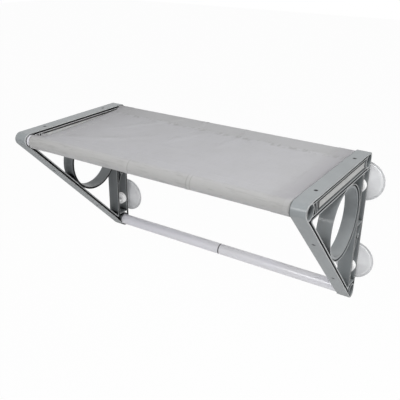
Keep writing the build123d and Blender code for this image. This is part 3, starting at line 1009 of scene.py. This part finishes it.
@dataclass
class Sling:
    """The cloth: a sleeve over the front tube, a flat bed and a sleeve over the rear tube.

    The cloth is drawn as a flat pattern, from the front seam round the front tube, over the bed
    and round the rear tube to the rear seam, and then bent to its shape. Its steps are those of
    the front tuck, run and bend, the bed, and the rear bend, run and tuck.
    """

    cloth: WovenCloth = WovenCloth()
    thread: SewingThread = SewingThread()
    relief: ClothRelief = ClothRelief()
    low_x: float = -0.2702
    high_x: float = 0.2788
    front_tube: Spot = (-0.302, 0.138)
    rear_tube: Spot = (-0.034, 0.138)
    bend: float = 0.01305
    ply: float = 0.0011
    ply_drawn: float = 0.8
    tail_drop: float = 1.02
    front_seam: Seam = Seam(-0.285, Hill(0.00022, 0.012))
    rear_seam: Seam = Seam(-0.079, Hill(0.0003, 0.016))
    turn_under: float = 0.006
    under_gap: float = 0.0002
    hem: float = 0.034
    left_edge: EdgePull = EdgePull(0.0215, 0.0015, 0.003, 0.0093)
    right_edge: EdgePull = EdgePull(0.0006, 0.0006)
    edge_power: int = 7
    front_ease: Pair = (-0.012, 0.03)
    rear_ease: Pair = (0.93, 0.985)
    step_x: float = 0.0034
    steps: tuple[int, ...] = (3, 5, 34, 84, 30, 9, 3)
    stitch: float = 0.0034
    stitch_length: float = 0.38
    stitch_half: Pair = (0.00028, 0.00026)
    stitch_rise: float = 0.4
    stitch_inset: float = 0.003
    row_gap: float = 0.0045

    def profile(self) -> list[Spot]:
        """Line of the cloth seen from the side, from the front seam to the rear seam.

        Returns:
            Points as (y, z), close together.
        """
        bed_z = self.front_tube[1] + self.bend
        tail_z = bed_z - self.ply * self.tail_drop
        front_seam, rear_seam = (self.front_seam.line, tail_z), (self.rear_seam.line, tail_z)
        first = self._touch(self.front_tube, front_seam, -1)
        last = self._touch(self.rear_tube, rear_seam, 1)
        tuck, run, bend, bed, rear_bend, rear_run, rear_tuck = self.steps
        parts = [
            self._straight((front_seam[0] + self.turn_under, tail_z), front_seam, tuck),
            self._straight(front_seam, self._on(self.front_tube, first), run),
            self._round(self.front_tube, first, -270.0, bend),
            self._straight((self.front_tube[0], bed_z), (self.rear_tube[0], bed_z), bed),
            self._round(self.rear_tube, 90.0, last - 360.0, rear_bend),
            self._straight(self._on(self.rear_tube, last), rear_seam, rear_run),
            self._straight(rear_seam, (rear_seam[0] - self.turn_under, tail_z), rear_tuck),
        ]
        return parts[0] + [point for part in parts[1:] for point in part[1:]]

    def _on(self, centre: Spot, angle: float) -> Spot:
        """Point on the cloth's bend at an angle in degrees."""
        turn = math.radians(angle)
        return centre[0] + self.bend * math.cos(turn), centre[1] + self.bend * math.sin(turn)

    def _touch(self, centre: Spot, point: Spot, way: int) -> float:
        """Angle at which a straight run from a point touches the bend.

        Args:
            centre: The tube's centre.
            point: Where the run starts.
            way: Which of the two touching points, minus one or one.

        Returns:
            The angle in degrees.
        """
        dy, dz = point[0] - centre[0], point[1] - centre[1]
        lean = math.degrees(math.atan2(dz, dy))
        return lean + way * math.degrees(math.acos(self.bend / math.hypot(dy, dz)))

    def _straight(self, start: Spot, end: Spot, count: int) -> list[Spot]:
        """Evenly spaced points on a straight run."""
        (y, z), dy, dz = start, end[0] - start[0], end[1] - start[1]
        return [(y + dy * step / count, z + dz * step / count) for step in range(count + 1)]

    def _round(self, centre: Spot, start: float, end: float, count: int) -> list[Spot]:
        """Evenly spaced points round a tube."""
        turn = end - start
        return [self._on(centre, start + turn * index / count) for index in range(count + 1)]

    def _depth(self, y: float) -> float:
        """Share of the way from the front tube to the rear tube."""
        return (y - self.front_tube[0]) / (self.rear_tube[0] - self.front_tube[0])

    def lift(self, x: float, y: float) -> float:
        """How far the cloth stands off its ideal line, outwards.

        Args:
            x: Place along the perch.
            y: Depth of the place.

        Returns:
            The distance.
        """
        relief = self.relief
        free = relief.bed(clamped(self._depth(y)))
        width = clamped((x - self.low_x) / (self.high_x - self.low_x))
        edge = min(x - self.low_x, self.high_x - x)
        off = -relief.sagged(free, width)
        off += sum(crease.height(x, y) for crease in CREASES)
        off -= free * relief.edge_sag.at(edge)
        off += relief.puckered(x, y, self.front_seam) + relief.puckered(x, y, self.rear_seam)
        off += free * relief.waved(x, y)
        return off + relief.hemmed(edge - self.hem)

    def bent(self, x: float, y: float, z: float, normal: Spot) -> Point:
        """Place of one point of the cloth in the room.

        Args:
            x: Place along the perch on the pattern.
            y: Depth on the ideal line.
            z: Height on the ideal line.
            normal: Outward direction as (y, z).

        Returns:
            The point.
        """
        depth = self._depth(y)
        middle = (self.low_x + self.high_x) / 2
        side = (x - middle) / (self.high_x - middle)
        edge = self.right_edge if side > 0.0 else self.left_edge
        past_front, at_rear = stepped(depth, *self.front_ease), stepped(depth, *self.rear_ease)
        drawn_in = edge.in_front + (edge.in_rear - edge.in_front) * depth
        pull = past_front * (1.0 - at_rear) * drawn_in
        pull -= edge.out_rear * at_rear
        pull -= edge.out_front * (1.0 - past_front)
        off = self.lift(x, y)
        moved = x - pull * side * abs(side) ** self.edge_power
        return moved, y + normal[0] * off, z + normal[1] * off

    def build(self) -> None:
        """Make the cloth and its stitching, and put them in the solid sling's place."""
        line = self.profile()
        sling = new_piece("sling_cloth", self._shape(line), self.cloth.coat())
        thick = sling.modifiers.new("ply", "SOLIDIFY")
        thick.thickness = self.ply * self.ply_drawn
        thick.offset = 0.0
        thick.use_even_offset = True
        stitches = self.sew()
        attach(sling, "frame")
        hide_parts("fabric_sling")

    def _shape(self, line: list[Spot]) -> bmesh.types.BMesh:
        """Mesh of the cloth.

        Args:
            line: The cloth's profile.

        Returns:
            The mesh, one row of points for each point of the profile.
        """
        width = self.high_x - self.low_x
        count = round(width / self.step_x)
        columns = [self.low_x + width * index / count for index in range(count + 1)]
        front_under, rear_under = sum(self.steps[:2]), len(line) - sum(self.steps[-2:])
        made = bmesh.new()
        rows = []
        for index, (y, z) in enumerate(line):
            before, after = line[max(0, index - 1)], line[min(len(line) - 1, index + 1)]
            run = Vector((after[0] - before[0], after[1] - before[1])).normalized()
            if index <= front_under or index >= rear_under:
                places = [(x, y, z + self._under_drop(x, y)) for x in columns]
            else:
                places = [self.bent(x, y, z, (-run.y, run.x)) for x in columns]
            rows.append([made.verts.new(place) for place in places])
        for low, high in zip(rows, rows[1:]):
            for corners in zip(low, low[1:], high[1:], high):
                made.faces.new(corners).smooth = True
        bmesh.ops.recalc_face_normals(made, faces=made.faces)
        return made

    def _under_drop(self, x: float, y: float) -> float:
        """Height of the turned under edges, which hang below the bed's own dip."""
        return min(0.0, self.lift(x, y)) - self.under_gap

    def sew(self) -> bpy.types.Object:
        """Make the stitches of both sleeve seams and both hems.

        Returns:
            The stitches, as one piece.
        """
        front, rear = self.front_seam.line, self.rear_seam.line
        bed_z = self.front_tube[1] + self.bend + self.ply * self.stitch_rise
        made = bmesh.new()
        low_x, high_x = self.low_x + self.stitch_inset, self.high_x - self.stitch_inset
        for y in (front, front + self.row_gap, rear, rear - self.row_gap):
            self._row(made, (low_x, y), (high_x, y), bed_z)
        low_y = self.front_tube[0] + self.stitch_inset
        high_y = self.rear_tube[0] - self.stitch_inset
        for x in (self.low_x + self.hem, self.high_x - self.hem, low_x, high_x):
            self._row(made, (x, low_y), (x, high_y), bed_z)
        stitches = new_piece("sling_stitches", made, self.thread.coat())
        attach(stitches, "frame")
        return stitches

    def _row(self, made: bmesh.types.BMesh, start: Spot, end: Spot, bed_z: float) -> None:
        """Add one row of stitches.

        Args:
            made: The mesh that takes them.
            start: First place as (x, y).
            end: Last place as (x, y).
            bed_z: Height of the cloth's upper face.
        """
        run = Vector((end[0] - start[0], end[1] - start[1]))
        count = max(1, round(run.length / self.stitch))
        turn = Matrix.Rotation(math.atan2(run.y, run.x), 4, "Z")
        shape = turn @ Matrix.Diagonal((self.stitch * self.stitch_length, *self.stitch_half, 1.0))
        for index in range(count):
            share = (index + 0.5) / count
            x, y = start[0] + run.x * share, start[1] + run.y * share
            place = Matrix.Translation(Vector(self.bent(x, y, bed_z, (0.0, 1.0))))
            bmesh.ops.create_icosphere(made, subdivisions=1, radius=1.0, matrix=place @ shape)


@dataclass(frozen=True)
class Softbox:
    """One square soft lamp: where it hangs, what it points at, its width and its watts."""

    name: str
    place: Point
    size: float
    power: float
    target: Point = (0.0, -0.15, 0.0)

    def hang(self) -> None:
        """Put the lamp in the scene."""
        lamp = bpy.data.lights.new(self.name, "AREA")
        lamp.energy = self.power
        lamp.size = self.size
        holder = bpy.data.objects.new(self.name, lamp)
        holder.location = self.place
        run = Vector(self.target) - Vector(self.place)
        holder.rotation_euler = run.to_track_quat("-Z", "Y").to_euler()
        bpy.context.scene.collection.objects.link(holder)


@dataclass
class Studio:
    """Pale floor, white surround, soft lamps and the camera."""

    floor_z: float = -0.62
    floor_size: float = 9.0
    floor_colour: Colour = (0.86, 0.86, 0.86)
    floor_glow: float = 0.16
    floor_white: float = 0.97
    sky: Colour = (0.96, 0.97, 1.0)
    ambient: float = 0.07
    eye: Point = (0.58706, -1.03999, 0.4984)
    yaw: float = 32.635
    pitch: float = 23.906
    roll: float = 0.766
    focal_pixels: float = 581.63
    photo_pixels: float = 400.0
    sensor_mm: float = 36.0
    reach: Pair = (0.05, 50.0)
    lamps: tuple[Softbox, ...] = (
        Softbox("front_softbox", (0.3, -2.0, 1.2), 1.2, 16.0),
        Softbox("left_front_softbox", (-0.45, -2.2, 1.0), 0.5, 9.0, (0.1, -0.15, 0.0)),
        Softbox("front_top_softbox", (0.4, -1.5, 1.7), 1.2, 9.0),
        Softbox("right_top_softbox", (0.8, -0.1, 1.8), 1.0, 10.0),
        Softbox("right_side_softbox", (1.8, -0.3, 1.05), 1.0, 17.0),
    )

    def build(self) -> None:
        """Make the floor, the surround, the lamps and the camera."""
        self.lay_floor()
        self.surround()
        for lamp in self.lamps:
            lamp.hang()
        self.aim()
        bpy.context.scene.view_settings.view_transform = "Standard"

    def lay_floor(self) -> None:
        """Make the floor, which shows white to the camera and keeps part of the shadow."""
        made = bmesh.new()
        bmesh.ops.create_grid(made, x_segments=2, y_segments=2, size=self.floor_size)
        bmesh.ops.translate(made, verts=made.verts, vec=(0.0, 0.0, self.floor_z))
        bench = Bench("pale_floor")
        matte = bench.node("ShaderNodeBsdfDiffuse", None, {"Color": self.floor_colour})
        bright = bench.node("ShaderNodeEmission")
        seen = bench.node("ShaderNodeLightPath", out="Is Camera Ray")
        warm = bench.node("ShaderNodeEmission", None, {"Strength": self.floor_glow})
        lit = bench.node("ShaderNodeAddShader", None, {0: matte, 1: warm})
        share = seen * self.floor_white
        both = bench.node("ShaderNodeMixShader", None, {0: share, 1: lit, 2: bright})
        new_piece("studio_floor", made, bench.show(both))

    def surround(self) -> None:
        """Make a world that is white to the camera and in reflections, and softer as a light."""
        world = bpy.data.worlds.new("surround")
        bpy.context.scene.world = world
        world.use_nodes = True
        tree = world.node_tree
        tree.nodes.clear()
        path = tree.nodes.new("ShaderNodeLightPath")
        both = tree.nodes.new("ShaderNodeMixShader")
        shades = ((self.sky, self.ambient), (WHITE, 1.0))
        for slot, (colour, strength) in enumerate(shades, start=1):
            shade = tree.nodes.new("ShaderNodeBackground")
            shade.inputs["Color"].default_value = (*colour, 1.0)
            shade.inputs["Strength"].default_value = strength
            tree.links.new(shade.outputs[0], both.inputs[slot])
        total: Any = path.outputs["Is Camera Ray"]
        for name in ("Is Glossy Ray", "Is Transmission Ray"):
            most = tree.nodes.new("ShaderNodeMath")
            most.operation = "MAXIMUM"
            tree.links.new(total, most.inputs[0])
            tree.links.new(path.outputs[name], most.inputs[1])
            total = most.outputs[0]
        out = tree.nodes.new("ShaderNodeOutputWorld")
        tree.links.new(total, both.inputs[0])
        tree.links.new(both.outputs[0], out.inputs["Surface"])

    def aim(self) -> None:
        """Set the camera where the photo was taken from."""
        eye = bpy.data.cameras.new("viewpoint")
        eye.sensor_width = self.sensor_mm
        eye.lens = self.focal_pixels / self.photo_pixels * self.sensor_mm
        eye.clip_start, eye.clip_end = self.reach
        holder = bpy.data.objects.new("viewpoint", eye)
        yaw, pitch, roll = (math.radians(value) for value in (self.yaw, self.pitch, self.roll))
        tilt = Matrix.Rotation(math.pi / 2 - pitch, 3, "X") @ Matrix.Rotation(roll, 3, "Z")
        holder.location = self.eye
        holder.rotation_euler = (Matrix.Rotation(yaw, 3, "Z") @ tilt).to_euler()
        bpy.context.scene.collection.objects.link(holder)
        bpy.context.scene.camera = holder


def main() -> None:
    """Build and dress the perch, then set the studio."""
    logging.basicConfig(level=logging.INFO, format="%(name)s: %(message)s")
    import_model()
    makers: list[tuple[str, Callable[[], None]]] = [
        ("brackets", BracketPair().dress),
        ("tubes", TubeSet().dress),
        ("cups", CupSet().dress),
        ("sling", Sling().build),
        ("studio", Studio().build),
    ]
    for name, make in makers:
        make()
        log.info("%s ready", name)


if __name__ == "__main__":
    main()
